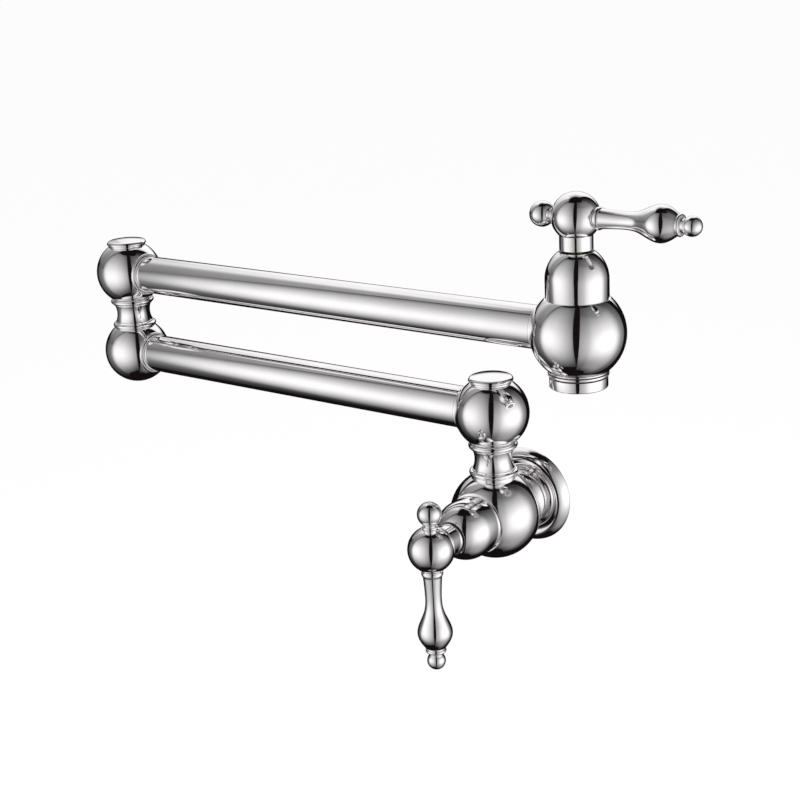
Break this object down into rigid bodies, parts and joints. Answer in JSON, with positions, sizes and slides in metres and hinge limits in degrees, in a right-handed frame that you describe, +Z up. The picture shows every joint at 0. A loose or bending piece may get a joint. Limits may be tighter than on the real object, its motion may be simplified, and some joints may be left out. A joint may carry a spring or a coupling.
{
  "type": "wall mounted pot filler tap",
  "caption": "Folding wall mounted pot filler tap with swivelling tube arms on ball joints, a quarter-turn lever valve at the wall and another over the spout outlet.",
  "frame": {"origin": "centre of the inlet at the wall, the wall being the plane y = 0", "axes": "+Z up, +Y into the wall along the inlet, +X to the right as one faces the wall; the arms are folded along the wall, the lower arm to -X and the upper arm back to +X"},
  "size_m": [0.4015, 0.1025, 0.2396],
  "materials": {
    "polished_chrome": "mirror polished plating",
    "bare_brass": "turned, uncoated",
    "plain_steel": "plain stainless",
    "black_rubber": "moulded, matt",
    "white_plastic": "low-friction, matt",
    "aerator_plastic": "moulded, satin",
    "ceramic": "lapped ceramic"
  },
  "bodies": {
    "wall_valve": {"wall_flange": "polished_chrome", "wall_gasket": "black_rubber", "valve_body": "polished_chrome", "inlet_washer": "black_rubber", "wall_valve_bonnet": "polished_chrome", "wall_valve_cartridge_housing": "bare_brass", "wall_valve_seat_seal": "black_rubber", "wall_valve_fixed_disc": "ceramic", "wall_swivel_stem": "polished_chrome", "wall_swivel_o_rings": "black_rubber", "wall_swivel_thrust_washer": "white_plastic", "wall_swivel_top_washer": "white_plastic", "wall_swivel_retaining_ring": "plain_steel"},
    "wall_handle": {"wall_valve_turning_disc": "ceramic", "wall_valve_spindle": "bare_brass", "wall_valve_spindle_seal": "black_rubber", "wall_valve_handle_hub": "polished_chrome", "wall_valve_lever": "polished_chrome", "wall_valve_finial": "polished_chrome", "wall_valve_grub_screw": "plain_steel"},
    "lower_arm": {"wall_swivel_ball": "polished_chrome", "wall_swivel_cap": "polished_chrome", "lower_arm_tube": "polished_chrome", "elbow_base_ball": "polished_chrome", "elbow_stem": "polished_chrome", "elbow_o_rings": "black_rubber", "elbow_thrust_washer": "white_plastic", "elbow_top_washer": "white_plastic", "elbow_retaining_ring": "plain_steel"},
    "upper_arm": {"elbow_swivel_ball": "polished_chrome", "elbow_cap": "polished_chrome", "upper_arm_tube": "polished_chrome", "spout_body": "polished_chrome", "spout_valve_bonnet": "polished_chrome", "spout_valve_cartridge_housing": "bare_brass", "spout_valve_seat_seal": "black_rubber", "spout_valve_fixed_disc": "ceramic", "aerator_housing": "polished_chrome", "aerator_insert": "aerator_plastic", "aerator_washer": "black_rubber"},
    "spout_handle": {"spout_valve_turning_disc": "ceramic", "spout_valve_spindle": "bare_brass", "spout_valve_spindle_seal": "black_rubber", "spout_valve_handle_hub": "polished_chrome", "spout_valve_lever": "polished_chrome", "spout_valve_finial": "polished_chrome", "spout_valve_grub_screw": "plain_steel"}
  },
  "joints": [
    {"name": "lower_arm_swing", "type": "hinge", "parent": "wall_valve", "child": "lower_arm", "pos_m": [0, -0.0332, 0.05552], "axis": [0, 0, 1], "range_deg": [0, 180]},
    {"name": "elbow_swing", "type": "hinge", "parent": "lower_arm", "child": "upper_arm", "pos_m": [-0.2635, -0.0332, 0.10436], "axis": [0, 0, 1], "continuous": true},
    {"name": "wall_handle_turn", "type": "hinge", "parent": "wall_valve", "child": "wall_handle", "pos_m": [0, -0.0332, 0], "axis": [0, -1, 0], "range_deg": [0, 90]},
    {"name": "spout_handle_turn", "type": "hinge", "parent": "upper_arm", "child": "spout_handle", "pos_m": [0.0525, -0.0332, 0.10436], "axis": [0, 0, 1], "range_deg": [-90, 0]}
  ]
}
